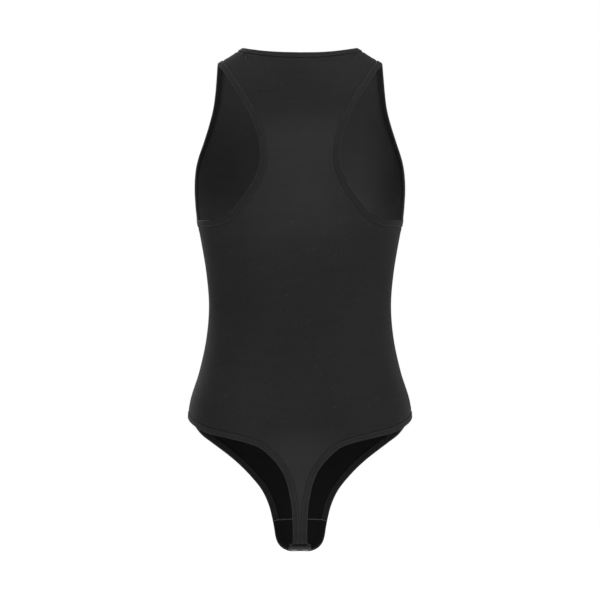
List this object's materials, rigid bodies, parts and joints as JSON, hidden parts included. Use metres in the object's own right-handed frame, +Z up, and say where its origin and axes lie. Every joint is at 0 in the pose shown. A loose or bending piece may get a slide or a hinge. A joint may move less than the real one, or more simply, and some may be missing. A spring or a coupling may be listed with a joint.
{
  "type": "gymnastics leotard",
  "caption": "Sleeveless racer-back leotard in stretch jersey, thong-cut at the seat, with bound neck, armholes and leg openings and a press-stud opening at the crotch.",
  "frame": {"origin": "middle of the waist, on the axis of the torso that wears it", "axes": "+Z up, -Y towards the wearer's front, +X towards the wearer's left"},
  "size_m": [0.3036, 0.2271, 0.6805],
  "materials": {
    "jersey": "fine matt stretch jersey",
    "binding": "folded jersey binding, matt",
    "lining": "brushed cotton lining",
    "elastic": "woven elastic tape",
    "thread": "overlocked seam allowance",
    "label": "satin tape, blank",
    "snap": "black lacquered press studs"
  },
  "bodies": {
    "bodice": {"front_panel": "jersey", "back_panel": "jersey", "front_gusset": "jersey", "gusset_lining": "lining", "gusset_seam": "thread", "neck_binding": "binding", "neck_elastic": "elastic", "care_label": "label", "armhole_binding_left": "binding", "armhole_elastic_left": "elastic", "leg_binding_left": "binding", "leg_elastic_left": "elastic", "side_seam_left": "thread", "shoulder_tape_left": "elastic", "armhole_binding_right": "binding", "armhole_elastic_right": "elastic", "leg_binding_right": "binding", "leg_elastic_right": "elastic", "side_seam_right": "thread", "shoulder_tape_right": "elastic"},
    "front_tab": {"front_snap_tab": "binding", "snap_cap_left": "snap", "snap_socket_left": "snap", "snap_cap_right": "snap", "snap_socket_right": "snap"},
    "back_tab": {"back_snap_tab": "binding", "snap_stud_left": "snap", "snap_ring_left": "snap", "snap_stud_right": "snap", "snap_ring_right": "snap"}
  },
  "joints": [
    {"name": "front_tab_peel", "type": "hinge", "parent": "bodice", "child": "front_tab", "pos_m": [0, -0.00635, -0.33168], "axis": [-1, 0, 0], "range_deg": [0, 150]},
    {"name": "back_tab_lift", "type": "hinge", "parent": "bodice", "child": "back_tab", "pos_m": [0, 0.01881, -0.32116], "axis": [-1, 0, 0], "range_deg": [0, 80]}
  ]
}
